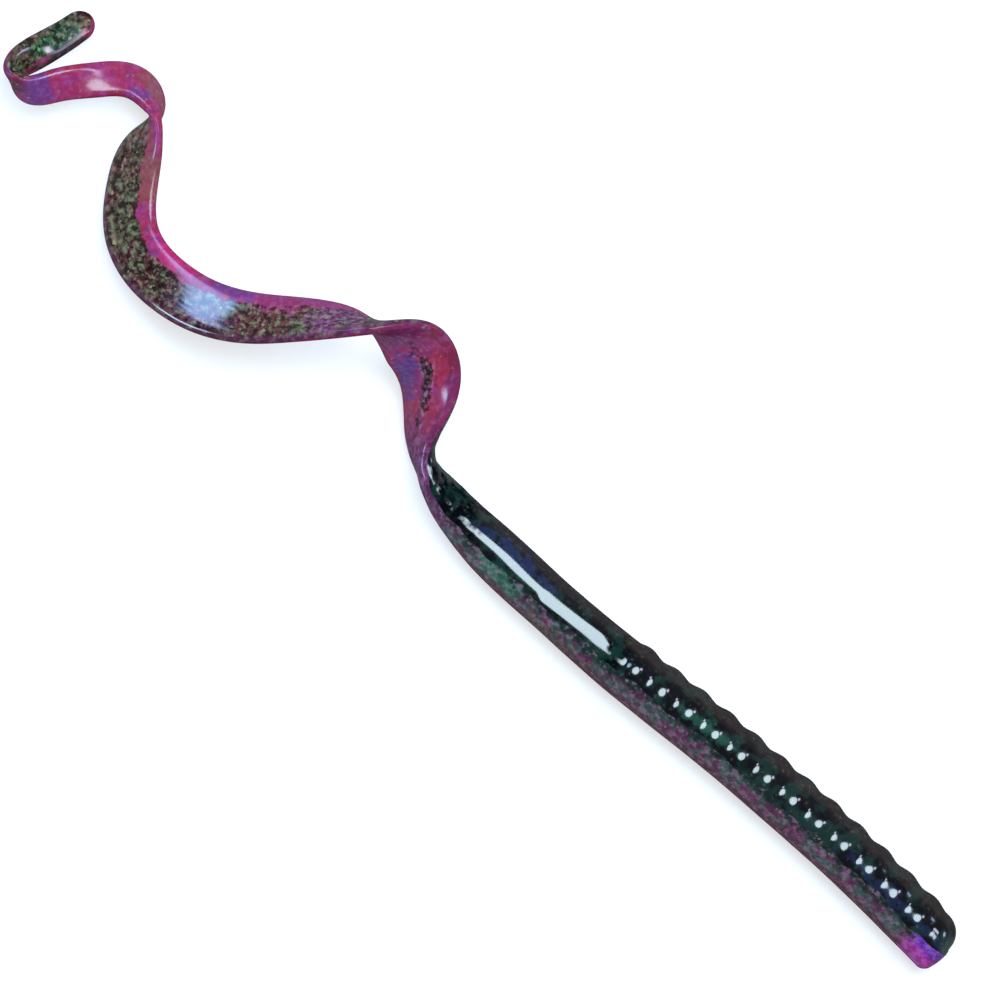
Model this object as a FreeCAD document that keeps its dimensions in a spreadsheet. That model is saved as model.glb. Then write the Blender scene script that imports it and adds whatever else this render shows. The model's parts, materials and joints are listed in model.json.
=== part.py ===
import FreeCAD, Part
import math
import os
import Sketcher
from FreeCAD import Placement, Rotation, Vector

# A soft plastic ribbon tail worm, lying on its side on a table, in millimetres.
# +X points to the nose, +Y to the worm's back, +Z up, and the table is Z = 0.
# It is poured in two colours: a dark back laminate and a bright belly laminate,
# welded along one parting surface. Each laminate is made here in the lengths
# between the stations where the worm flexes.

DIMENSIONS = {
    "nose_x": 73.6,             # nose face, measured from the middle of the worm
    "axis_y": -3.1,             # centre line of the straight body
    "axis_z": 3.6,
    "body_roll": 12.0,          # the back leans up off the table by this many degrees
    "barrel_radius": 3.33,
    "nose_round": 1.4,          # radius that softens the flat nose
    "rib_pitch": 3.86,
    "rib_width": 2.2,
    "rib_height": 0.34,
    "ribs_per_length": 6,       # in each of the two ribbed lengths
    "ribs_end_x": 23.9,         # where the ribs stop and the smooth sack starts
    "flex_gap": 0.6,            # between two lengths of body, on the axis
    "flex_cone": 11.0,          # slope of a body length's end, in degrees
    "weld_gap": 0.1,            # between the laminates behind the ribs
    "ribbon_width": 7.0,        # its usual width; the route widens it at the first curl
    "ribbon_thickness": 1.6,
    "ribbon_gap": 1.0,          # between two lengths of ribbon
    "feather_share": 0.42,      # the dark laminate's inner edge, as a share of the half width
}

# The worm's centre line behind the ribs, as a route of hand-set stations:
# x, y, z, the turn of its width about the line (degrees; 90 stands on edge),
# its width as a share of ribbon_width, and its thickness as a share of ribbon_thickness.
ROUTE = [
    (23.9, -3.1, 3.6, 78, 0.951, 4.16),
    (13, -3.9, 3.6, 78, 0.93, 3.95),
    (3, -4.05, 3.55, 78, 0.92, 3.7),
    (-4.4, -3.1, 3.55, 82, 0.92, 2.2),
    (-8.9, -1.2, 3.8, 105, 0.93, 1.36),
    (-12.9, 3.9, 5.4, 145, 1.06, 1.06),
    (-17.1, 6.7, 8.2, 150, 1.12, 1),
    (-21.7, 5.7, 10.4, 92, 1.02, 1),
    (-28.4, 0.7, 10.2, 42, 0.91, 1),
    (-35.4, -4.7, 8.4, 18, 0.92, 1),
    (-43.1, -6.8, 6.2, 0, 0.93, 1),
    (-49.4, -5.45, 4.3, -15, 0.92, 1),
    (-53.6, -0.9, 3.3, -26, 0.93, 0.97),
    (-55.9, 4, 3, -53, 0.87, 0.94),
    (-57, 6.7, 3, -95, 0.76, 0.94),
    (-60.8, 7.6, 4.4, -150, 0.62, 0.91),
    (-64.2, 4.8, 6.2, -180, 0.57, 0.88),
    (-67, 1.3, 7.2, -205, 0.56, 0.88),
    (-69.4, -1.3, 7.4, -235, 0.56, 0.88),
    (-71.55, -0.9, 7, -285, 0.57, 0.88),
    (-71.5, 1.8, 6.2, -335, 0.56, 0.88),
    (-70.6, 5.15, 4.9, -358, 0.53, 0.84),
    (-70, 7.95, 4, -360, 0.5, 0.82),
    (-69.75, 9.6, 3.5, -360, 0.43, 0.78),
]
# Stations of ROUTE at which the worm flexes, front to back.
FLEX_STATIONS = (4, 7, 10, 14, 17)
SECTIONS_PER_LENGTH = 10
# The sack's section is never quite as tall as it is wide.
ROUNDEST = 0.998
# A row of ribs adds at least this share to its body length's volume.
LEAST_RIB_GAIN = 0.01

doc = FreeCAD.newDocument("ribbon_tail_worm")


def make_sheet():
    """The driving dimensions, as plain numbers with word aliases."""
    sheet = doc.addObject("Spreadsheet::Sheet", "dims")
    for row, (alias, value) in enumerate(DIMENSIONS.items(), start=1):
        sheet.set(f"A{row}", alias)
        sheet.set(f"B{row}", str(value))
        sheet.setAlias(f"B{row}", alias)
    doc.recompute()
    return sheet


dims = make_sheet()


class Route:
    """The centre line, with the turn and size of the section along it."""

    def __init__(self, stations):
        points = [Vector(x, y, z) for x, y, z, _, _, _ in stations]
        forms = [Vector(turn, width, thick) for _, _, _, turn, width, thick in stations]
        self.at_station = [0.0]
        for here, there in zip(points, points[1:]):
            self.at_station.append(self.at_station[-1] + here.distanceToPoint(there))
        self.line = Part.BSplineCurve()
        self.line.interpolate(Points=points, Parameters=self.at_station)
        self.form = Part.BSplineCurve()
        self.form.interpolate(Points=forms, Parameters=self.at_station)

    def placement(self, u):
        """Local X runs across the ribbon to its outer edge, Y out of its dark face, Z to the tip."""
        along = self.line.tangent(u)[0]
        level = Vector(0, 0, 1).cross(along).normalize()
        upright = along.cross(level)
        turn = math.radians(self.form.value(u).x)
        across = level * math.cos(turn) + upright * math.sin(turn)
        return Placement(self.line.value(u), Rotation(across, along.cross(across), along, "ZXY"))

    def shares(self, u):
        """Width and thickness, as shares of the ribbon's."""
        form = self.form.value(u)
        return form.y, form.z


route = Route(ROUTE)


def origin_feature(body, role):
    """The body's own origin plane or axis with that role."""
    return next(f for f in body.Origin.OriginFeatures if f.Role == role)


def new_body(name):
    """An empty body whose label is its file name."""
    body = doc.addObject("PartDesign::Body", name)
    body.Label = name
    return body


def new_sketch(body, name, role="XY_Plane", offset=None):
    """A sketch on one of the body's origin planes, or standing off it."""
    sketch = body.newObject("Sketcher::SketchObject", name)
    sketch.AttachmentSupport = [(origin_feature(body, role), "")]
    sketch.MapMode = "FlatFace"
    if offset is not None:
        sketch.AttachmentOffset = offset
    return sketch


def close_loop(sketch, first, count):
    """Joins each edge's end to the next edge's start."""
    for i in range(count):
        following = first + (i + 1) % count
        sketch.addConstraint(Sketcher.Constraint("Coincident", first + i, 2, following, 1))


def line(start, end):
    return Part.LineSegment(Vector(*start, 0), Vector(*end, 0))


def on_body_axis(body, x):
    """Puts a body length on the worm's axis, turned by the roll."""
    body.Placement = Placement(
        Vector(x, dims.axis_y, dims.axis_z), Rotation(Vector(1, 0, 0), dims.body_roll)
    )
    body.setExpression(".Placement.Base.y", "dims.axis_y")
    body.setExpression(".Placement.Base.z", "dims.axis_z")


def half_turn(body, sketch, name):
    """Revolves a half profile by 180 degrees about the worm's axis, to both sides alike."""
    turned = body.newObject("PartDesign::Revolution", name)
    turned.Profile = sketch
    turned.ReferenceAxis = (sketch, ["H_Axis"])
    turned.Angle = 180
    turned.Midplane = True
    return turned


def barrel_profile(body, side, length, rear_slope, front_slope, nose_round):
    """Half the outline of a body length, from its rear end at x = 0 to its front end."""
    r = dims.barrel_radius
    shell = side * r
    rear = r * math.tan(math.radians(rear_slope))
    if nose_round:
        front = nose_round
        corner = Part.Circle(Vector(length - front, shell - side * front, 0), Vector(0, 0, 1), front)
        angles = (0, math.pi / 2) if side > 0 else (-math.pi / 2, 0)
        front_edges = [
            line((length, 0), (length, shell - side * front)),
            Part.ArcOfCircle(corner, *angles),
        ]
    else:
        front = r * math.tan(math.radians(front_slope))
        front_edges = [line((length, 0), (length - front, shell))]
    edges = [
        line((0, 0), (length, 0)),
        *front_edges,
        line((length - front, shell), (rear, shell)),
        line((rear, shell), (0, 0)),
    ]
    sketch = new_sketch(body, body.Name + "_outline")
    sketch.addGeometry(edges, False)
    axis_line = 0
    shell_line = len(edges) - 2
    sketch.addConstraint(Sketcher.Constraint("Horizontal", axis_line))
    sketch.addConstraint(Sketcher.Constraint("Coincident", axis_line, 1, -1, 1))
    sketch.addConstraint(Sketcher.Constraint("Horizontal", shell_line))
    if side > 0:
        radius = sketch.addConstraint(Sketcher.Constraint("DistanceY", -1, 1, shell_line, 1, r))
    else:
        radius = sketch.addConstraint(Sketcher.Constraint("DistanceY", shell_line, 1, -1, 1, r))
    sketch.renameConstraint(radius, "radius")
    sketch.setExpression("Constraints.radius", "dims.barrel_radius")
    return sketch


def add_ribs(body, first_crest):
    """One half ring with a round back, repeated along the body by a linear pattern."""
    half = dims.rib_width / 2
    root = dims.barrel_radius - dims.rib_height
    shoulder = dims.barrel_radius - dims.rib_height / 2
    crest = dims.barrel_radius + dims.rib_height
    rear = first_crest - half
    front = first_crest + half
    arch = Part.Arc(Vector(rear, shoulder, 0), Vector(first_crest, crest, 0), Vector(front, shoulder, 0))
    sketch = new_sketch(body, body.Name + "_rib")
    sketch.addGeometry(
        [
            line((front, root), (rear, root)),
            line((rear, root), (rear, shoulder)),
            arch,
            line((front, shoulder), (front, root)),
        ],
        False,
    )
    doc.recompute()
    plain_volume = body.Shape.Volume
    ring = half_turn(body, sketch, body.Name + "_ring")
    doc.recompute()
    pattern = body.newObject("PartDesign::LinearPattern", body.Name + "_ribs")
    pattern.Originals = [ring]
    pattern.Direction = (origin_feature(body, "X_Axis"), [""])
    pattern.Length = dims.rib_pitch * (dims.ribs_per_length - 1)
    pattern.Occurrences = int(dims.ribs_per_length)
    pattern.setExpression("Length", "dims.rib_pitch * (dims.ribs_per_length - 1)")
    pattern.setExpression("Occurrences", "dims.ribs_per_length")
    body.Tip = pattern
    doc.recompute()
    if body.Shape.Volume < plain_volume * (1 + LEAST_RIB_GAIN):
        raise RuntimeError(f"{body.Name}: the ribs added no volume")


def body_length(name, side, start, length, rear_slope, front_slope, nose_round=0.0, crest=None):
    """A straight length of one laminate: side is 1 for the back and -1 for the belly."""
    body = new_body(name)
    on_body_axis(body, start)
    outline = barrel_profile(body, side, length, rear_slope, front_slope, nose_round)
    half_turn(body, outline, name + "_barrel")
    if crest is not None:
        add_ribs(body, crest)
    return body


def half_oval(body, name, u, side):
    """The section of the sack: half an oval, parted across its width.

    The back half stands off the parting surface by the weld gap."""
    width, thick = (share / 2 for share in route.shares(u))
    a = dims.ribbon_width * width
    b = min(dims.ribbon_thickness * thick, ROUNDEST * a)
    sketch = new_sketch(body, name, offset=route.placement(u))
    oval = Part.Ellipse(Vector(a, 0, 0), Vector(0, b, 0), Vector(0, 0, 0))
    floor = dims.weld_gap if side > 0 else 0.0
    lift = math.asin(floor / b)
    first, last = (lift, math.pi - lift) if side > 0 else (math.pi, 2 * math.pi)
    end = side * a * math.cos(lift)
    sketch.addGeometry([line((-end, floor), (end, floor)), Part.ArcOfEllipse(oval, first, last)], False)
    close_loop(sketch, 0, 2)
    return sketch


def ribbon_section(body, name, u, side):
    """The ribbon's section, a strip with round edges, less the other laminate.

    The dark laminate lies in the face, from the outer edge to a sloped inner edge, and
    stands off the parting surface by the weld gap. The belly laminate is the rest, full
    thickness along the inner edge."""
    width, thick = (share / 2 for share in route.shares(u))
    a = dims.ribbon_width * width
    b = dims.ribbon_thickness * thick
    sketch = new_sketch(body, name, offset=route.placement(u))
    outer = Vector(a - b, 0, 0)
    inner = Vector(b - a, 0, 0)
    up = Vector(0, 0, 1)
    if side > 0:
        floor = dims.weld_gap
        feather = 2 * floor - a * dims.feather_share
        lift = math.asin(floor / b)
        corner = (feather + b, floor)
        edges = [
            Part.ArcOfCircle(Part.Circle(outer, up, b), lift, math.pi / 2),
            line((a - b, b), (feather, b)),
            line((feather, b), corner),
            line(corner, (a - b + b * math.cos(lift), floor)),
        ]
    else:
        feather = -a * dims.feather_share
        corner = (feather + b, 0)
        edges = [
            line((a, 0), corner),
            line(corner, (feather, b)),
            line((feather, b), (b - a, b)),
            Part.ArcOfCircle(Part.Circle(inner, up, b), math.pi / 2, 1.5 * math.pi),
            line((b - a, -b), (a - b, -b)),
            Part.ArcOfCircle(Part.Circle(outer, up, b), -math.pi / 2, 0),
        ]
    sketch.addGeometry(edges, False)
    close_loop(sketch, 0, len(edges))
    if side < 0:
        half_width = sketch.addConstraint(Sketcher.Constraint("DistanceX", -1, 1, 0, 1, a))
        sketch.renameConstraint(half_width, "half_width")
        sketch.setExpression("Constraints.half_width", f"dims.ribbon_width * {width:.6f}")
    return sketch


def lofted_length(name, side, first, last, section):
    """A length of one laminate through evenly spaced sections of the route."""
    body = new_body(name)
    sketches = []
    for i in range(SECTIONS_PER_LENGTH):
        u = first + (last - first) * i / (SECTIONS_PER_LENGTH - 1)
        sketches.append(section(body, f"{name}_section_{i + 1}", u, side))
    doc.recompute()
    loft = body.newObject("PartDesign::AdditiveLoft", name + "_loft")
    loft.Profile = sketches[0]
    loft.Sections = sketches[1:]
    loft.Ruled = False
    body.Tip = loft
    return body


def make_worm():
    """Both laminates in their eight lengths. The ribbed length's rear end is the steeper one,
    because only that end faces a flat one."""
    sides = {"back": 1, "belly": -1}
    rear_cone = 2 * dims.flex_cone
    half_gap = dims.flex_gap / 2
    ribbed = dims.rib_pitch * dims.ribs_per_length
    middle_x = dims.ribs_end_x + ribbed
    half_ribbon_gap = dims.ribbon_gap / 2
    parts = []
    for word, side in sides.items():
        first_crest = dims.rib_pitch / 2 - half_gap
        crest = first_crest if side > 0 else None
        parts.append(body_length(
            "nose_" + word, side, middle_x + half_gap, dims.nose_x - middle_x - half_gap,
            dims.flex_cone, 0, dims.nose_round, crest))
        parts.append(body_length(
            "ribbed_" + word, side, dims.ribs_end_x + half_gap, ribbed - dims.flex_gap,
            rear_cone, dims.flex_cone, 0.0, crest))
        flexes = [route.at_station[i] for i in FLEX_STATIONS]
        parts.append(lofted_length(
            "sack_" + word, side, half_gap, flexes[0] - half_ribbon_gap, half_oval))
        ends = flexes[1:] + [route.at_station[-1] + half_ribbon_gap]
        for number, (start, end) in enumerate(zip(flexes, ends), start=1):
            label = "tip" if number == len(ends) else f"curl_{number}"
            parts.append(lofted_length(
                f"{label}_{word}", side, start + half_ribbon_gap, end - half_ribbon_gap,
                ribbon_section))
    doc.recompute()
    return parts


def check_and_write(parts):
    for thing in doc.Objects:
        if "Invalid" in thing.State or "Error" in thing.State:
            raise RuntimeError(f"{thing.Name} failed: {thing.State}")
    os.makedirs("parts", exist_ok=True)
    for part in parts:
        shape = part.Shape
        if shape.isNull() or not shape.isValid() or len(shape.Solids) != 1:
            raise RuntimeError(f"{part.Label} is not one valid solid")
        shape.exportStep(f"parts/{part.Label}.step")
        print(f"{part.Label}: {shape.Volume:.1f} mm3")


check_and_write(make_worm())
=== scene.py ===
import json
import math

import bpy
import numpy as np
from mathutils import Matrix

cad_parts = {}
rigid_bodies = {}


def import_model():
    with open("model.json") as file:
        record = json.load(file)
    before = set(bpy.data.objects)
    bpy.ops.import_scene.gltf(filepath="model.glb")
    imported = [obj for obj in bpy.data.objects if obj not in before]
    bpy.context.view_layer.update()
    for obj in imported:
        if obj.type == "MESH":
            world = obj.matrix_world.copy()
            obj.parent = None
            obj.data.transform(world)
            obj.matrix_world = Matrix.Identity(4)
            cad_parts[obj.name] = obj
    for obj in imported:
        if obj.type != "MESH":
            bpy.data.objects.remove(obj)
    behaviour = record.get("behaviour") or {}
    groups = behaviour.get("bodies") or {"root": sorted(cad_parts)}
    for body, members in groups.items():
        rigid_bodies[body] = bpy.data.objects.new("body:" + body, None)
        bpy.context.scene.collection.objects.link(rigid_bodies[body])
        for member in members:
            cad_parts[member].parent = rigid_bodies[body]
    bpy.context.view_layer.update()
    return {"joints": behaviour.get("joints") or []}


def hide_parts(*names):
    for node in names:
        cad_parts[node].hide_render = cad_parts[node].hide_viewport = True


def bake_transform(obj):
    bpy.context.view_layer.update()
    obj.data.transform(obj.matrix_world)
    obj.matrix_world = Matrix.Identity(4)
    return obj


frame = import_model()

# A soft plastic ribbon tail worm, poured in two colours, lying on its side on a pale table.
# Shapes are worked out in millimetres along the worm and turned into metres in the mesh.
MM = 0.001

# The worm's centre line from the nose to the tip, as a route of given stations:
# x, y, z, the turn of its width about the line (degrees; 90 stands on edge),
# its width as a share of RIBBON_WIDTH, its thickness as a share of RIBBON_THICKNESS.
RIBBON_WIDTH = 7.0
RIBBON_THICKNESS = 1.6
ROUTE = [
    (73.6, -3.15, 3.6, 78, 0.951, 4.16),
    (61, -2.55, 3.6, 78, 0.951, 4.16),
    (48.5, -2.6, 3.6, 78, 0.951, 4.16),
    (36, -3.1, 3.6, 78, 0.951, 4.16),
    (23.9, -3.9, 3.6, 78, 0.951, 4.16),
    (13, -4.2, 3.6, 78, 0.93, 3.92),
    (3, -4.05, 3.55, 73, 0.92, 3.7),
    (-4.4, -3.1, 3.55, 76, 0.92, 2.2),
    (-8.9, -1.2, 3.8, 105, 0.93, 1.36),
    (-12.7, 4.1, 5.4, 145, 1.12, 1.06),
    (-17.0, 6.95, 8.2, 150, 1.16, 1),
    (-21.7, 5.7, 10.4, 92, 1.02, 1),
    (-28.4, 0.7, 10.2, 42, 0.91, 1),
    (-35.4, -4.7, 8.4, 18, 0.92, 1),
    (-43.1, -6.8, 6.2, 0, 0.93, 1),
    (-49.4, -5.45, 4.3, -15, 0.92, 1),
    (-53.6, -0.9, 3.3, -26, 0.93, 0.97),
    (-55.9, 4, 3, -53, 0.87, 0.94),
    (-57, 6.7, 3, -95, 0.76, 0.94),
    (-60.8, 7.6, 4.4, -150, 0.62, 0.91),
    (-64.2, 4.8, 6.2, -180, 0.57, 0.88),
    (-67, 1.3, 7.2, -205, 0.56, 0.88),
    (-69.4, -1.3, 7.4, -235, 0.56, 0.88),
    (-71.55, -0.9, 7, -285, 0.57, 0.88),
    (-71.5, 1.8, 6.2, -335, 0.56, 0.88),
    (-70.6, 5.15, 4.9, -358, 0.53, 0.84),
    (-70, 7.95, 4, -360, 0.5, 0.82),
    (-69.75, 9.8, 3.5, -360, 0.5, 0.8),
]
ROOT_STATION = 8                # where the round sack has become the flat ribbon

RIB_PITCH = 3.86
RIB_DEPTH = 0.34                # crest above trough
RIBS = 12
RIBS_END_X = 23.9
NOSE_ROUND_BELLY = 1.3
NOSE_ROUND_BACK = 2.7
FLAT_START = 52.5               # the flat on the sack's back, along the worm
FLAT_END = 61.5
FLAT_TOP = 0.47                 # sine of the angle round the sack at its start
FLAT_FALL = 0.26                # how far the sine falls to its end
FLAT_FACING = 0.36              # angle round the sack that the whole flat faces
FLAT_SHARE = 0.6                # of the sack's own curve taken out
FLAT_REACH = 1.3
FEATHER_SHARE = 0.42            # the dark plastic's inner edge on the ribbon, of the half width

BACK_COLUMNS = 56               # mesh columns round each laminate
BELLY_COLUMNS = 68
BODIES = ["nose_body", "ribbed_body", "sack_body", "curl_1_body",
          "curl_2_body", "curl_3_body", "curl_4_body", "tip_body"]
LENGTHS = ["nose", "middle", "root", "first_curl", "bow", "second_curl", "tip"]


def natural_cubic(knots, values, at):
    """The natural cubic spline: a cubic on each span between knots that passes through the
    values, with equal slopes and bends where spans meet and no bend at the two ends."""
    gap = np.diff(knots)
    n = len(knots)
    system = np.eye(n)
    right = np.zeros_like(values)
    for i in range(1, n - 1):
        system[i, i - 1:i + 2] = gap[i - 1], 2 * (gap[i - 1] + gap[i]), gap[i]
        right[i] = 6 * ((values[i + 1] - values[i]) / gap[i]
                        - (values[i] - values[i - 1]) / gap[i - 1])
    bend = np.linalg.solve(system, right)
    k = np.clip(np.searchsorted(knots, at, side="right") - 1, 0, n - 2)
    width = gap[k][:, None]
    low = (knots[k + 1] - at)[:, None] / width
    high = (at - knots[k])[:, None] / width
    return (low * values[k] + high * values[k + 1]
            + ((low ** 3 - low) * bend[k] + (high ** 3 - high) * bend[k + 1]) * width ** 2 / 6)


def ease(low, high, value):
    """0 below low, 1 above high, and 3t^2 - 2t^3 between."""
    t = np.clip((value - low) / (high - low), 0, 1)
    return t * t * (3 - 2 * t)


def unit(vectors):
    return vectors / np.linalg.norm(vectors, axis=-1, keepdims=True)


def lumps(place, wavelengths, seed):
    """Sum of sine waves that run in random directions through the plastic, within -1 and 1."""
    draw = np.random.default_rng(seed)
    total = np.zeros(place.shape[:-1])
    for wavelength in wavelengths:
        direction = unit(draw.normal(size=3))
        total += np.sin(place @ direction * 2 * math.pi / wavelength + draw.uniform(0, 6.28))
    return total / len(wavelengths)


stations = np.array(ROUTE, float)
at_station = np.concatenate(
    [[0.0], np.cumsum(np.linalg.norm(np.diff(stations[:, :3], axis=0), axis=1))])
WORM_LENGTH = at_station[-1]
ROOT = at_station[ROOT_STATION]
RIBS_END = stations[0, 0] - RIBS_END_X


def centre_line(s):
    """Centre, direction to the tip, direction across to the outer edge, direction out of the
    dark face, half width and half thickness at each distance s from the nose. The direction
    across is the level direction at right angles to the line, turned about it by the turn."""
    step = 0.01
    form = natural_cubic(at_station, stations, s)
    ahead = natural_cubic(at_station, stations[:, :3], s + step)
    along = unit(ahead - natural_cubic(at_station, stations[:, :3], s - step))
    level = unit(np.cross([0.0, 0.0, 1.0], along))
    upright = np.cross(along, level)
    turn = np.radians(form[:, 3:4])
    across = level * np.cos(turn) + upright * np.sin(turn)
    half_width = form[:, 4] * RIBBON_WIDTH / 2
    half_thick = np.minimum(form[:, 5] * RIBBON_THICKNESS / 2, half_width)
    return form[:, :3], along, across, np.cross(along, across), half_width, half_thick


def flex_places():
    """Distance from the nose of each joint in the frame: the nearest point of the centre line."""
    fine = np.linspace(0, WORM_LENGTH, 4000)
    centres = centre_line(fine)[0]
    places = []
    for ahead, behind in zip(BODIES, BODIES[1:]):
        joint = next(j for j in frame["joints"] if {j["parent"], j["child"]} == {ahead, behind})
        gap = np.linalg.norm(centres - np.array(joint["pos_m"]) / MM, axis=1)
        places.append(fine[gap.argmin()])
    return places


flexes = flex_places()
seams = [(a + b) / 2 for a, b in zip(flexes, flexes[1:])]

# Rows of the mesh along the worm. The nose face and the tip get rows of their own, with
# a share that shrinks the section towards its middle.
FACE_ROWS = 9
FACE_CROWN = 0.22
TIP_ROUND = 1.9
TIP_ROWS = 22


def row_places():
    """Distances from the nose, the share of the section at each, and the rows at the seams."""
    share = np.linspace(0.02, 1, FACE_ROWS, endpoint=False)
    s = [FACE_CROWN * share ** 2]
    shares = [share]
    seam_rows = [0]
    count = FACE_ROWS
    stops = [FACE_CROWN] + seams + [WORM_LENGTH - TIP_ROUND]
    for start, end in zip(stops, stops[1:]):
        spacing = 0.17 if start < RIBS_END else 0.26
        rows = int(round((end - start) / spacing))
        s.append(start + (end - start) * np.arange(rows) / rows)
        shares.append(np.ones(rows))
        count += rows
        seam_rows.append(count)
    seam_rows.pop()
    quarter = np.linspace(0, math.pi / 2 * 0.985, TIP_ROWS)
    s.append(WORM_LENGTH - TIP_ROUND + TIP_ROUND * np.sin(quarter))
    shares.append(np.cos(quarter))
    seam_rows.append(count + TIP_ROWS - 1)
    return np.concatenate(s), np.concatenate(shares), seam_rows


def worm_surface():
    """The whole outer surface as a grid of rows along the worm and columns round it, its
    normals, each point's place (along, across, through) and the rows at the seams.

    Round a section the angle t gives X = a cos t across and Y = b sqrt(1 - |cos t|^p) through.
    The power p is 2 on the round body, an oval, and 6.5 on the ribbon, a strip with round
    edges and slightly crowned faces. Ribs, the nose, the tip and small lumps are added."""
    s, share, seam_rows = row_places()
    centre, along, across, through, half_width, half_thick = centre_line(s)
    s2 = s[:, None]

    # columns: the dark plastic runs from the outer edge at t = 0 to its inner edge
    ribbon = ease(ROOT - 9, ROOT + 6, s)
    wave = 0.05 * np.sin(s * 1.1) + 0.04 * np.sin(s * 2.3 + 1) + 0.02 * np.sin(s * 4.1 + 2)
    inner = math.pi * (1 - ribbon) + math.acos(-FEATHER_SHARE) * ribbon + wave
    outer = 0.05 * np.sin(s * 0.7 + 0.5) + 0.03 * np.sin(s * 1.9)
    dark_t = outer[:, None] + (inner - outer)[:, None] * np.arange(BACK_COLUMNS) / BACK_COLUMNS
    bright_t = (inner[:, None] + (outer + 2 * math.pi - inner)[:, None]
                * np.arange(BELLY_COLUMNS) / BELLY_COLUMNS)
    t = np.concatenate([dark_t, bright_t], axis=1)

    power = 2 + 4.5 * ease(ROOT - 12, ROOT + 5, s)[:, None]
    x_share = np.cos(t)
    y_share = np.sign(np.sin(t)) * np.sqrt(np.clip(1 - np.abs(x_share) ** power, 0, 1))

    # the nose: rounder on the back than on the belly
    backness = ease(-0.7, 0.8, np.sin(t))
    nose_round = NOSE_ROUND_BELLY + (NOSE_ROUND_BACK - NOSE_ROUND_BELLY) * backness
    depth = np.clip(nose_round - (s2 - FACE_CROWN), 0, nose_round)
    inset = nose_round - np.sqrt(nose_round ** 2 - depth ** 2)
    inset = np.where(s2 < 12, inset, 0)

    # ribs: a cosine along the body, fading out towards the belly
    x_here = stations[0, 0] - s2
    phase = (x_here - RIBS_END_X) / RIB_PITCH
    ribbed = ease(-0.02, 0.3, phase) * ease(RIBS + 0.15, RIBS - 0.12, phase)
    wavy = 0.5 - 0.5 * np.cos(2 * math.pi * phase)
    rib_fade = ease(-0.55, 0.25, np.sin(t))
    rib = RIB_DEPTH * wavy ** 0.85 * ribbed * rib_fade

    a = half_width[:, None] - inset * (half_width / half_width[0])[:, None] + rib
    b = half_thick[:, None] - inset + rib
    thin = np.where(s > ROOT, np.sqrt(share), share)
    a = a * share[:, None]
    b = b * thin[:, None]
    x = a * x_share
    y = b * y_share
    points = centre[:, None] + across[:, None] * x[..., None] + through[:, None] * y[..., None]
    place = np.stack([np.broadcast_to(s2, x.shape), x, y], axis=-1)
    normals = grid_normals(points)

    # soft lumps, the flat on the sack, creases at the root, fine flow lines along the ribbon
    soft = 0.030 * lumps(place, (9.0, 7.0, 5.0, 4.0, 3.1), 3)
    flat = sack_flat(s2, t, half_width[:, None])
    at_root = ease(ROOT - 12.5, ROOT - 9, s2) * ease(ROOT + 6, ROOT + 1, s2)
    crumple = 0.040 * lumps(place, (2.9, 2.1, 1.7), 5) * at_root
    flow = lumps(place * [0.12, 1, 1], (1.4, 0.9, 0.6, 0.45), 8)
    relief = soft + flat + crumple + 0.0025 * flow * ease(ROOT - 5, ROOT + 5, s2)
    relief = relief * ease(0.0, 2.0, s2) * share[:, None]
    points = points + normals * relief[..., None]
    return points, grid_normals(points), place, seam_rows


def sack_flat(s, t, radius):
    """A slanting flat pressed into the back of the sack. The sine of its middle line's angle
    falls as a parabola along the worm, and d is the distance round the sack from that line.
    The height is a slope times d, which tilts the flat, plus a share of d squared over twice
    the radius, which takes out some of the curve, both times exp(-(d / reach)^2)."""
    share = np.clip((s - FLAT_START) / (FLAT_END - FLAT_START), 0, 1)
    climb = np.arcsin(FLAT_TOP - FLAT_FALL * share ** 2)
    distance = radius * (t - climb)
    tilt = np.tan(climb - FLAT_FACING)
    place = ease(FLAT_START - 0.7, FLAT_START + 1.0, s) * ease(FLAT_END + 0.8, FLAT_END - 0.7, s)
    shape = tilt * distance + FLAT_SHARE * distance ** 2 / (2 * radius)
    return place * shape * np.exp(-(distance / FLAT_REACH) ** 2)


def grid_normals(points):
    """Outward normals of a grid that closes on itself round each row: the cross product of
    the differences along and round it."""
    round_it = np.roll(points, -1, axis=1) - np.roll(points, 1, axis=1)
    along_it = np.gradient(points, axis=0)
    return unit(np.cross(round_it, along_it))


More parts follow.
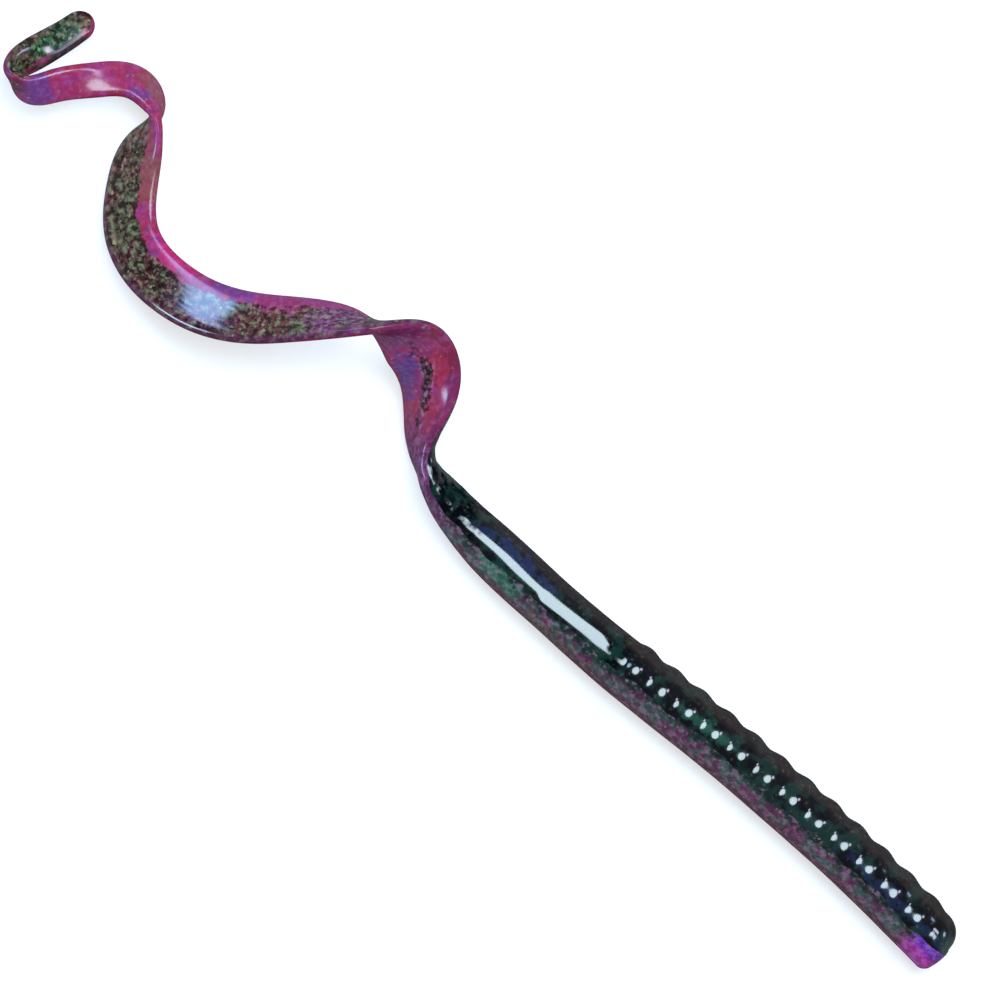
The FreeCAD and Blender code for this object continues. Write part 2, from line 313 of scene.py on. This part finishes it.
def laminate(name, points, normals, place, columns, rows):
    """One length of one plastic as a closed mesh: its part of the outer surface, the parting
    wall as a curve from edge to edge inside the worm, and a flat end at each end."""
    first, last = rows
    outer = points[first:last + 1][:, columns]
    outer_normals = normals[first:last + 1][:, columns]
    outer_place = place[first:last + 1][:, columns]
    k = len(columns) - 1
    back = np.arange(k - 1, 0, -1) / k
    start, end = outer[:, :1], outer[:, -1:]
    wall = start * (1 - back[:, None]) + end * back[:, None]
    start_place, end_place = outer_place[:, :1], outer_place[:, -1:]
    wall_place = start_place * (1 - back[:, None]) + end_place * back[:, None]
    ring = np.concatenate([outer, wall], axis=1)
    ring_place = np.concatenate([outer_place, wall_place], axis=1)
    ring_normals = np.concatenate([outer_normals, np.zeros_like(wall)], axis=1)
    n_rows, n_ring = ring.shape[:2]
    ids = np.arange(n_rows * n_ring).reshape(n_rows, n_ring)
    beside = np.roll(ids, -1, axis=1)
    sides = np.stack([ids[:-1], beside[:-1], beside[1:], ids[1:]], axis=-1)
    is_outer = np.zeros(sides.shape[:2], bool)
    is_outer[:, :k] = True
    sides = sides.reshape(-1, 4)
    is_outer = is_outer.ravel()

    j = np.arange(1, k - 1)
    strip = np.stack([j, j + 1, n_ring - j - 1, n_ring - j], axis=-1)
    corners = np.array([[0, 1, n_ring - 1], [k - 1, k, k + 1]])
    near_quads, far_quads = ids[0][strip][:, ::-1], ids[-1][strip]
    near_corners, far_corners = ids[0][corners][:, ::-1], ids[-1][corners]
    faces = (sides.tolist() + near_quads.tolist() + far_quads.tolist()
             + near_corners.tolist() + far_corners.tolist())
    mesh = bpy.data.meshes.new(name)
    mesh.from_pydata((ring.reshape(-1, 3) * MM).tolist(), [], faces)
    mesh.update(calc_edges=True)
    mesh.shade_smooth()

    pairs = np.zeros(len(mesh.edges) * 2, np.int32)
    mesh.edges.foreach_get("vertices", pairs)
    row, column = np.divmod(pairs.reshape(-1, 2), n_ring)
    parting = (column[:, 0] == column[:, 1]) & np.isin(column[:, 0], (0, k))
    rim = (row[:, 0] == row[:, 1]) & np.isin(row[:, 0], (0, n_rows - 1))
    sharp = mesh.attributes.new("sharp_edge", "BOOLEAN", "EDGE")
    sharp.data.foreach_set("value", parting | rim)

    face_normals = np.zeros(len(mesh.polygons) * 3, np.float32)
    mesh.polygons.foreach_get("normal", face_normals)
    totals = np.array([len(f) for f in faces])
    per_corner = np.repeat(face_normals.reshape(-1, 3), totals, axis=0)
    smooth = np.repeat(np.concatenate([is_outer, np.zeros(len(faces) - len(sides), bool)]), totals)
    vertex = np.array([v for f in faces for v in f])
    per_corner[smooth] = ring_normals.reshape(-1, 3)[vertex[smooth]]
    mesh.normals_split_custom_set(per_corner.tolist())

    where = mesh.attributes.new("place", "FLOAT_VECTOR", "POINT")
    where.data.foreach_set("vector", ring_place.reshape(-1).astype(np.float32))
    piece = bpy.data.objects.new(name, mesh)
    bpy.context.scene.collection.objects.link(piece)
    return piece


PATCH_WOBBLE = 2.4              # how far the clouds push a patch's outline about
FLAKE_TILT = 0.9                # at most, as a share of the normal's length
FLAKE_METAL = 0.5
BODY_IOR = 1.12
COAT_IOR = 3.0
DARK_COAT_ROUGHNESS = 0.12
BRIGHT_COAT_ROUGHNESS = 0.17


class Paint:
    """A node material, built one node at a time; each call returns the node's output."""

    def __init__(self, name):
        self.material = bpy.data.materials.new(name)
        self.material.use_nodes = True
        self.nodes = self.material.node_tree.nodes
        self.links = self.material.node_tree.links
        self.nodes.clear()

    def node(self, kind, **settings):
        made = self.nodes.new(kind)
        for key, value in settings.items():
            setattr(made, key, value)
        return made

    def feed(self, socket, value):
        if isinstance(value, bpy.types.NodeSocket):
            self.links.new(value, socket)
        else:
            socket.default_value = value

    def math(self, operation, first, second=0.0, third=0.0):
        made = self.node("ShaderNodeMath", operation=operation)
        for socket, value in zip(made.inputs, (first, second, third)):
            self.feed(socket, value)
        return made.outputs[0]

    def vector_math(self, operation, first, second=(0, 0, 0), scale=1.0):
        made = self.node("ShaderNodeVectorMath", operation=operation)
        self.feed(made.inputs[0], first)
        self.feed(made.inputs[1], second)
        if operation == "SCALE":
            self.feed(made.inputs["Scale"], scale)
        return made.outputs[0]

    def fade(self, value, low, high):
        """0 where value is at low, 1 where it is at high, smooth between."""
        made = self.node("ShaderNodeMapRange", interpolation_type="SMOOTHSTEP")
        self.feed(made.inputs["Value"], value)
        made.inputs["From Min"].default_value = low
        made.inputs["From Max"].default_value = high
        return made.outputs[0]

    def mix(self, share, first, second, blend="MIX"):
        made = self.node("ShaderNodeMix", data_type="RGBA", blend_type=blend)
        self.feed(made.inputs[0], share)
        for socket, colour in zip(made.inputs[6:8], (first, second)):
            self.feed(socket, (*colour, 1) if isinstance(colour, tuple) else colour)
        return made.outputs[2]

    def noise(self, vector, size, detail=2.0, rough=0.5):
        """A cloudy pattern whose patches are about size millimetres across."""
        made = self.node("ShaderNodeTexNoise")
        self.feed(made.inputs["Vector"], vector)
        made.inputs["Scale"].default_value = 1 / size
        made.inputs["Detail"].default_value = detail
        made.inputs["Roughness"].default_value = rough
        return made.outputs["Fac"]

    def shifted(self, vector, by):
        return self.vector_math("ADD", vector, (by, by * 0.7, by * 1.3))

    def ruffled(self, vector, size, amount):
        """The place pushed about by a noise, so that a pattern's outlines come out uneven."""
        clouds = self.node("ShaderNodeTexNoise")
        self.feed(clouds.inputs["Vector"], vector)
        clouds.inputs["Scale"].default_value = 1 / size
        push = self.vector_math("SUBTRACT", clouds.outputs["Color"], (0.5, 0.5, 0.5))
        return self.vector_math("ADD", vector, self.vector_math("SCALE", push, scale=amount))

    def flakes(self, vector, size, held, shape=0.36, soft=0.10):
        """Glitter: each cell of a random pattern, size millimetres across, holds one flake
        if its own random number is under held. Gives the mask, scaled by a random strength,
        the random colour of the cell, and a random number for the tint."""
        cells = self.node("ShaderNodeTexVoronoi", feature="F1", distance="MANHATTAN")
        self.feed(cells.inputs["Vector"], vector)
        cells.inputs["Scale"].default_value = 1 / size
        parts = self.node("ShaderNodeSeparateColor")
        self.feed(parts.inputs[0], cells.outputs["Color"])
        spot = self.fade(cells.outputs["Distance"], shape + soft, shape - soft)
        chosen = self.math("LESS_THAN", parts.outputs[0], held)
        strength = self.math("MULTIPLY_ADD", parts.outputs[2], 0.75, 0.25)
        mask = self.math("MULTIPLY", self.math("MULTIPLY", spot, chosen), strength)
        return mask, cells.outputs["Color"], parts.outputs[1]

    def patch(self, where, wobble, middle, reach):
        """A soft uneven patch: 1 at the middle place, 0 past the reach along each direction."""
        from_middle = self.vector_math("SUBTRACT", where, middle)
        shares = self.vector_math("MULTIPLY", from_middle, tuple(1 / r for r in reach))
        away = self.node("ShaderNodeVectorMath", operation="LENGTH")
        self.feed(away.inputs[0], shares)
        edge = self.math("MULTIPLY_ADD", wobble, PATCH_WOBBLE, away.outputs["Value"])
        return self.fade(edge, PATCH_WOBBLE / 2 + 1.0, PATCH_WOBBLE / 2 + 0.45)

    def patches(self, where, wobble, colour, rows):
        """Lays each row's patch over the colour: colour, share, middle and reach."""
        for tint, share, middle, reach in rows:
            mask = self.patch(where, wobble, middle, reach)
            colour = self.mix(self.math("MULTIPLY", mask, share), colour, tint)
        return colour


def dulled(paint, where, wobble, rows):
    """The share of the gloss that each row's dull patch leaves: 1 outside them all."""
    gloss = 1.0
    for middle, reach in rows:
        gloss = paint.math("MULTIPLY", gloss,
                           paint.math("SUBTRACT", 1.0, paint.patch(where, wobble, middle, reach)))
    return gloss


def shade(paint, colour, flake, random, roughness, gloss, coat_roughness):
    """Clear glossy plastic over coloured plastic with tilted metal flakes in it."""
    geometry = paint.node("ShaderNodeNewGeometry")
    tilt = paint.vector_math("SUBTRACT", random, (0.5, 0.5, 0.5))
    tilt = paint.vector_math("SCALE", tilt, scale=paint.math("MULTIPLY", flake, FLAKE_TILT))
    tilted = paint.vector_math("NORMALIZE",
                               paint.vector_math("ADD", geometry.outputs["Normal"], tilt))
    plastic = paint.node("ShaderNodeBsdfPrincipled")
    paint.feed(plastic.inputs["Base Color"], colour)
    paint.feed(plastic.inputs["Metallic"], paint.math("MULTIPLY", flake, FLAKE_METAL))
    paint.feed(plastic.inputs["Roughness"], roughness)
    paint.feed(plastic.inputs["Normal"], tilted)
    plastic.inputs["IOR"].default_value = BODY_IOR
    plastic.inputs["Specular IOR Level"].default_value = 0.0
    paint.feed(plastic.inputs["Coat Weight"], gloss)
    plastic.inputs["Coat Roughness"].default_value = coat_roughness
    plastic.inputs["Coat IOR"].default_value = COAT_IOR
    output = paint.node("ShaderNodeOutputMaterial")
    paint.links.new(plastic.outputs[0], output.inputs[0])
    return paint.material


BLACK = (0.0010, 0.0016, 0.0026)
DARK_GREEN = (0.004, 0.014, 0.011)
DARK_BROWN = (0.020, 0.010, 0.008)
NAVY = (0.009, 0.013, 0.038)
TEAL_GREEN = (0.018, 0.085, 0.052)
FOREST_GREEN = (0.014, 0.052, 0.022)
NIGHT_RED = (0.022, 0.004, 0.004)
BROWN_RED = (0.058, 0.018, 0.018)
OLIVE = (0.048, 0.040, 0.024)
RUST = (0.13, 0.040, 0.036)
MAGENTA = (0.175, 0.017, 0.076)
HOT_PINK = (0.27, 0.012, 0.072)
CRIMSON = (0.19, 0.014, 0.038)
VIOLET = (0.070, 0.022, 0.115)
PURPLE = (0.110, 0.018, 0.078)
PLUM = (0.072, 0.017, 0.044)
WINE = (0.060, 0.010, 0.026)
GREY_GREEN = (0.034, 0.050, 0.046)
NOSE_PINK = (0.27, 0.022, 0.20)
NOSE_VIOLET = (0.085, 0.020, 0.18)
MOTTLE_GREEN = (0.085, 0.120, 0.058)
MOTTLE_GOLD = (0.150, 0.090, 0.060)
MOTTLE_MAUVE = (0.19, 0.085, 0.13)
FLAKE_GREEN = (0.070, 0.160, 0.060)
FLAKE_GREY = (0.20, 0.17, 0.15)
FLAKE_GOLD = (0.24, 0.17, 0.09)


def place_parts(paint):
    """The place attribute, and its parts: along from the nose, across, through."""
    where = paint.node("ShaderNodeAttribute", attribute_name="place").outputs["Vector"]
    parts = paint.node("ShaderNodeSeparateXYZ")
    paint.feed(parts.inputs[0], where)
    return where, parts.outputs[0], parts.outputs[1], parts.outputs[2]


def flake_tint(paint, random):
    green_gold = paint.mix(paint.fade(random, 0.40, 0.60), FLAKE_GREEN, FLAKE_GOLD)
    return paint.mix(paint.fade(random, 0.70, 0.85), green_gold, FLAKE_GREY)


# Patches of colour on the dark plastic: colour, share, middle (along, across, through), reach.
DARK_PATCHES = [
    (NAVY, 0.8, (66.0, 3.0, 2.0), (7.0, 3.0, 1.1)),
    (NAVY, 0.5, (9.0, 3.2, 0.9), (9.0, 2.0, 0.9)),
    (TEAL_GREEN, 0.35, (38.0, 3.0, 1.2), (5.0, 2.0, 0.8)),
    (PURPLE, 0.9, (105.5, 0.0, 0.8), (4.6, 4.5, 3.0)),
    (MAGENTA, 0.75, (112.0, -1.5, 0.8), (5.0, 1.4, 3.0)),
    (PLUM, 0.7, (121.0, 1.4, 0.8), (6.0, 1.5, 3.0)),
    (NIGHT_RED, 0.8, (127.8, 0.4, 0.8), (2.6, 1.9, 3.0)),
    (CRIMSON, 0.8, (130.0, -1.9, 0.8), (5.0, 1.0, 3.0)),
    (OLIVE, 0.55, (135.0, 0.6, 0.8), (4.6, 2.2, 3.0)),
    (RUST, 0.7, (145.5, 0.0, 0.7), (2.2, 4.0, 3.0)),
    (FOREST_GREEN, 0.9, (173.2, -0.2, 0.7), (4.8, 2.2, 3.0)),
    (BROWN_RED, 0.8, (178.6, 0.4, 0.6), (2.2, 3.0, 3.0)),
]
BRIGHT_PATCHES = [
    (TEAL_GREEN, 0.8, (66.5, 3.0, -1.0), (5.0, 3.0, 1.2)),
    (OLIVE, 0.6, (58.0, 2.0, -2.2), (5.5, 4.0, 1.0)),
    (CRIMSON, 0.9, (93.3, 2.0, -0.8), (3.0, 1.3, 3.0)),
    (VIOLET, 0.95, (92.8, -2.0, -0.8), (6.2, 2.2, 3.0)),
    (DARK_GREEN, 0.7, (90.5, 0.2, -0.8), (7.5, 0.8, 3.0)),
    (PURPLE, 0.7, (98.8, 0.0, -0.8), (3.4, 5.0, 3.0)),
    (PURPLE, 0.6, (109.0, -2.6, 0.0), (9.0, 1.6, 3.0)),
    # Painted highlight: this violet patch tints the inner strip where the blue highlight falls.
    (VIOLET, 0.8, (118.5, -2.6, 0.0), (4.0, 1.6, 3.0)),
    (HOT_PINK, 0.95, (128.8, -2.7, 0.0), (5.4, 2.0, 3.0)),
    (RUST, 0.85, (141.0, -2.5, 0.0), (5.0, 1.8, 3.0)),
    (RUST, 0.7, (150.2, 0.9, -0.7), (2.6, 1.7, 3.0)),
    (VIOLET, 0.7, (151.6, -1.5, -0.7), (2.4, 1.0, 3.0)),
    (CRIMSON, 0.6, (158.8, -0.8, -0.7), (3.2, 1.6, 3.0)),
    (VIOLET, 0.8, (163.4, 0.0, -0.7), (1.9, 3.4, 3.0)),
    (WINE, 0.9, (167.0, 0.0, -0.7), (2.2, 4.0, 3.0)),
    (DARK_GREEN, 0.9, (173.5, -1.2, 0.0), (5.6, 1.9, 3.0)),
]


DARK_GLOSS = 0.12               # weight of the clear coat on each plastic
BRIGHT_GLOSS = 0.08

# Dull patches on the dark plastic: middle and reach.
DULL_PATCHES = [
    ((50.9, 3.0, 1.4), (1.5, 3.0, 3.0)),
    ((76.0, 2.0, 1.5), (5.0, 4.0, 3.0)),
]


def gloss_of(paint, along, through):
    """Full on the body and the ribbon's faces, less on the back edge and the thin rims."""
    thin = paint.fade(along, ROOT - 1, ROOT + 5)
    depth = paint.math("ABSOLUTE", through)
    rim = paint.math("MULTIPLY", thin, paint.fade(depth, 0.66, 0.46))
    back_edge = paint.fade(through, 1.8, 2.7)
    duller = paint.math("MULTIPLY_ADD", back_edge, -0.55, 1.0)
    return paint.math("MULTIPLY", duller, paint.math("MULTIPLY_ADD", rim, -0.75, 1.0))


def speckled(paint, where, colour, amount, light):
    """Fine uneven mottling: dark hollows and light clusters about half a millimetre across."""
    fine = paint.noise(paint.ruffled(where, 0.6, 0.4), 0.75, 2, 0.6)
    hollow = paint.math("MULTIPLY", paint.fade(fine, 0.51, 0.42), amount)
    colour = paint.mix(hollow, colour, (0.16, 0.10, 0.12), "MULTIPLY")
    cluster = paint.math("MULTIPLY", paint.fade(fine, 0.54, 0.63), amount)
    return paint.mix(paint.math("MULTIPLY", cluster, 0.8), colour, light)


def dark_plastic():
    """Near black on the body; on the ribbon plum brown and olive, full of dull glitter."""
    paint = Paint("dark_flake_plastic")
    where, along, across, through = place_parts(paint)
    wobble = paint.noise(paint.shifted(where, 9), 1.3, 3)
    cloud = paint.noise(where, 2.2, 3)
    body = paint.mix(paint.fade(cloud, 0.47, 0.62), BLACK, DARK_GREEN)
    ragged = paint.math("MULTIPLY", wobble, 1.4)
    far_back = paint.fade(paint.math("ADD", through, ragged), 3.0, 3.9)
    body = paint.mix(paint.math("MULTIPLY", far_back, 0.5), body, DARK_BROWN)
    ribbon = paint.mix(paint.fade(cloud, 0.40, 0.60), BROWN_RED, OLIVE)
    rim = paint.fade(paint.math("ADD", across, wobble), 2.8, 3.5)
    ribbon = paint.mix(paint.math("MULTIPLY", rim, 0.8), ribbon, PLUM)
    thin = paint.fade(along, ROOT - 2, ROOT + 6)
    colour = paint.mix(thin, body, ribbon)
    colour = paint.patches(where, wobble, colour, DARK_PATCHES)
    hue = paint.fade(paint.noise(paint.shifted(where, 31), 1.6, 2), 0.44, 0.58)
    light = paint.mix(hue, MOTTLE_GREEN, MOTTLE_GOLD)
    amount = paint.math("MULTIPLY_ADD", thin, 0.85, 0.05)
    amount = paint.math("MULTIPLY", amount, paint.math("MULTIPLY_ADD", rim, -0.5, 1.0))
    colour = speckled(paint, where, colour, amount, light)

    strength = paint.math("MULTIPLY_ADD", thin, 0.65, 0.12)
    big, random, tint = paint.flakes(paint.ruffled(where, 0.45, 0.5), 0.75, 0.6)
    big = paint.math("MULTIPLY", big, strength)
    colour = paint.mix(big, colour, flake_tint(paint, tint))
    specks, _, _ = paint.flakes(paint.ruffled(paint.shifted(where, 41), 0.3, 0.35), 0.6, 0.35)
    colour = paint.mix(paint.math("MULTIPLY", specks, 0.8), colour, BLACK)
    rough = paint.math("MULTIPLY_ADD", paint.noise(where, 2.0, 3), 0.25, 0.4)
    gloss = paint.math("MULTIPLY", gloss_of(paint, along, through), DARK_GLOSS)
    gloss = paint.math("MULTIPLY", gloss, dulled(paint, where, wobble, DULL_PATCHES))
    return shade(paint, colour, big, random, rough, gloss, DARK_COAT_ROUGHNESS)


def bright_plastic():
    """Magenta that wanders to crimson, violet and olive, duller and greener on the flank, with
    painted shade on the body's far belly side and a painted highlight tint on the ribbon's inner
    strip.
    """
    paint = Paint("bright_magenta_plastic")
    where, along, across, through = place_parts(paint)
    wobble = paint.noise(paint.shifted(where, 3), 1.3, 3)
    cloud = paint.noise(where, 3.0, 3)
    ribbon = paint.mix(paint.fade(cloud, 0.40, 0.60), CRIMSON, MAGENTA)
    stain = paint.math("MULTIPLY", paint.fade(wobble, 0.54, 0.68), 0.6)
    ribbon = paint.mix(stain, ribbon, PURPLE)
    rim = paint.fade(paint.math("ADD", across, wobble), 2.9, 3.6)
    ribbon = paint.mix(paint.math("MULTIPLY", rim, 0.5), ribbon, WINE)
    mottle = paint.noise(paint.ruffled(paint.shifted(where, 23), 0.7, 0.8), 1.5, 3, 0.6)
    flank = paint.mix(paint.fade(mottle, 0.42, 0.58), PLUM, GREY_GREEN)
    # Partly painted shade: the flank turns darker wine towards its far belly side, the side turned
    # away from the main lamp; partly the plastic's own darker edge.
    low = paint.fade(paint.math("ADD", through, wobble), -1.3, -2.2)
    flank = paint.mix(paint.math("MULTIPLY", low, 0.85), flank, WINE)
    smear = paint.fade(paint.math("MULTIPLY_ADD", wobble, 2.4, through), 0.1, 1.0)
    flank = paint.mix(paint.math("MULTIPLY", smear, 0.9), flank, DARK_GREEN)
    root = paint.fade(along, ROOT - 12, ROOT - 2)
    thin = paint.fade(along, ROOT - 1, ROOT + 5)
    flank = paint.mix(paint.math("MULTIPLY", root, 0.7), flank, PURPLE)
    colour = paint.mix(thin, flank, ribbon)
    nose = paint.fade(paint.math("MULTIPLY_ADD", wobble, 3.0, along), 7.0, 5.0)
    nose_colour = paint.mix(paint.fade(through, -0.5, -1.7), NOSE_VIOLET, NOSE_PINK)
    colour = paint.mix(nose, colour, nose_colour)
    colour = paint.patches(where, wobble, colour, BRIGHT_PATCHES)

    seam = paint.patch(where, wobble, (90.5, 0.3, -0.8), (8.0, 1.2, 3.0))
    body = paint.math("SUBTRACT", 1.0, thin)
    amount = paint.math("MULTIPLY_ADD", seam, 0.75, paint.math("MULTIPLY_ADD", body, 0.3, 0.2))
    colour = speckled(paint, where, colour, amount, MOTTLE_MAUVE)
    held = paint.math("MULTIPLY_ADD", seam, 0.6, 0.28)
    flake, random, tint = paint.flakes(paint.ruffled(paint.shifted(where, 5), 0.4, 0.4), 0.6, held)
    flake = paint.math("MULTIPLY", flake, 0.45)
    colour = paint.mix(flake, colour, flake_tint(paint, tint))
    rough = paint.math("MULTIPLY_ADD", paint.noise(where, 2.0, 3), 0.25, 0.4)
    gloss = paint.math("MULTIPLY", gloss_of(paint, along, through), BRIGHT_GLOSS)
    return shade(paint, colour, flake, random, rough, gloss, BRIGHT_COAT_ROUGHNESS)


def make_worm():
    """Both plastics in seven lengths, each crossing one flex station."""
    points, normals, place, seam_rows = worm_surface()
    centre, along = centre_line(np.array(flexes))[:2]
    sides = {
        "back": (dark_plastic(), "back_plastic", np.arange(BACK_COLUMNS + 1)),
        "belly": (bright_plastic(), "belly_plastic",
                  np.arange(BACK_COLUMNS, BACK_COLUMNS + BELLY_COLUMNS + 1)
                  % (BACK_COLUMNS + BELLY_COLUMNS)),
    }
    for side, (material, slot, columns) in sides.items():
        for i, length in enumerate(LENGTHS):
            rows = seam_rows[i], seam_rows[i + 1]
            piece = laminate(f"{length}_{side}_skin", points, normals, place, columns, rows)
            piece.data.materials.append(material)
            ahead, behind = BODIES[i], BODIES[i + 1]
            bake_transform(piece)
            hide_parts(*(b.removesuffix("body") + side for b in (ahead, behind)))


TABLE_HALF = 3.0                # metres
TABLE_GREY = (0.26, 0.26, 0.26, 1)
TABLE_GLOW = (1.0, 1.0, 1.0, 1)
TABLE_GLOW_STRENGTH = 0.62


def make_table():
    """A wide plain pale table top, one square, lit softly from below."""
    half = TABLE_HALF
    mesh = bpy.data.meshes.new("table_top")
    mesh.from_pydata([(-half, -half, 0), (half, -half, 0), (half, half, 0), (-half, half, 0)],
                     [], [(0, 1, 2, 3)])
    table = bpy.data.objects.new("table_top", mesh)
    bpy.context.scene.collection.objects.link(table)
    paint = Paint("pale_table")
    board = paint.node("ShaderNodeBsdfPrincipled")
    board.inputs["Base Color"].default_value = TABLE_GREY
    board.inputs["Emission Color"].default_value = TABLE_GLOW
    board.inputs["Emission Strength"].default_value = TABLE_GLOW_STRENGTH
    board.inputs["Roughness"].default_value = 0.7
    board.inputs["Specular IOR Level"].default_value = 0.2
    output = paint.node("ShaderNodeOutputMaterial")
    paint.links.new(board.outputs[0], output.inputs[0])
    mesh.materials.append(paint.material)


# Light and camera, in metres, degrees and watts.
# Each lamp: tilt from overhead, heading round from +X, height and width, power, colour.
LAMPS = {
    "key_box": (17, 90, 0.38, 0.38, 9.2, (0.72, 0.90, 1.0)),
    "tail_box": (42, 160, 0.20, 0.24, 2.9, (0.34, 0.56, 1.0)),
    "side_box": (38, 66, 0.12, 0.12, 0.9, (0.80, 0.70, 1.0)),
    "curl_box": (50, 230, 0.18, 0.18, 2.4, (0.55, 0.76, 1.0)),
    "fold_box": (70, 44, 0.14, 0.16, 1.2, (0.50, 0.62, 1.0)),
}
LAMP_DISTANCE = 0.70
ROOM_LOW = (0.66, 0.66, 0.66, 1)
ROOM_HIGH = (0.16, 0.16, 0.16, 1)
CAMERA_TURN = 42.5
CAMERA_HEIGHT = 0.60
CAMERA_AIM = (1.48, 0.66, 3.6)  # millimetres
PICTURE_WIDTH = 113.4           # millimetres across at the height of the aim
SENSOR = 36.0


def make_lights():
    """Soft boxes that face the middle of the worm, and a pale room, darker above."""
    for name, (tilt, heading, height, width, power, colour) in LAMPS.items():
        lamp = bpy.data.lights.new(name, "AREA")
        lamp.shape = "ELLIPSE"
        lamp.size = height
        lamp.size_y = width
        lamp.energy = power
        lamp.color = colour
        box = bpy.data.objects.new(name, lamp)
        tilt, heading = math.radians(tilt), math.radians(heading)
        box.location = (LAMP_DISTANCE * math.sin(tilt) * math.cos(heading),
                        LAMP_DISTANCE * math.sin(tilt) * math.sin(heading),
                        LAMP_DISTANCE * math.cos(tilt))
        box.rotation_euler = (0, tilt, heading)
        box.visible_camera = False
        bpy.context.scene.collection.objects.link(box)

    world = bpy.data.worlds.new("pale_room")
    world.use_nodes = True
    nodes, links = world.node_tree.nodes, world.node_tree.links
    direction = nodes.new("ShaderNodeTexCoord")
    parts = nodes.new("ShaderNodeSeparateXYZ")
    links.new(direction.outputs["Generated"], parts.inputs[0])
    rise = nodes.new("ShaderNodeMapRange")
    rise.interpolation_type = "SMOOTHSTEP"
    rise.inputs["From Min"].default_value = 0.1
    rise.inputs["From Max"].default_value = 0.75
    links.new(parts.outputs["Z"], rise.inputs["Value"])
    shade_of_room = nodes.new("ShaderNodeMix")
    shade_of_room.data_type = "RGBA"
    shade_of_room.inputs[6].default_value = ROOM_LOW
    shade_of_room.inputs[7].default_value = ROOM_HIGH
    links.new(rise.outputs[0], shade_of_room.inputs[0])
    links.new(shade_of_room.outputs[2], nodes["Background"].inputs["Color"])
    bpy.context.scene.world = world


def make_camera():
    """Straight above the worm, turned so that its nose points to the lower right."""
    data = bpy.data.cameras.new("camera")
    data.sensor_width = SENSOR
    data.lens = SENSOR * CAMERA_HEIGHT / (PICTURE_WIDTH * MM)
    data.clip_start = 0.01
    data.clip_end = 20
    camera = bpy.data.objects.new("camera", data)
    x, y, z = (value * MM for value in CAMERA_AIM)
    camera.location = (x, y, z + CAMERA_HEIGHT)
    camera.rotation_euler = (0, 0, math.radians(CAMERA_TURN))
    bpy.context.scene.collection.objects.link(camera)
    bpy.context.scene.camera = camera


bpy.context.scene.view_settings.view_transform = "Standard"
make_worm()
make_table()
make_lights()
make_camera()
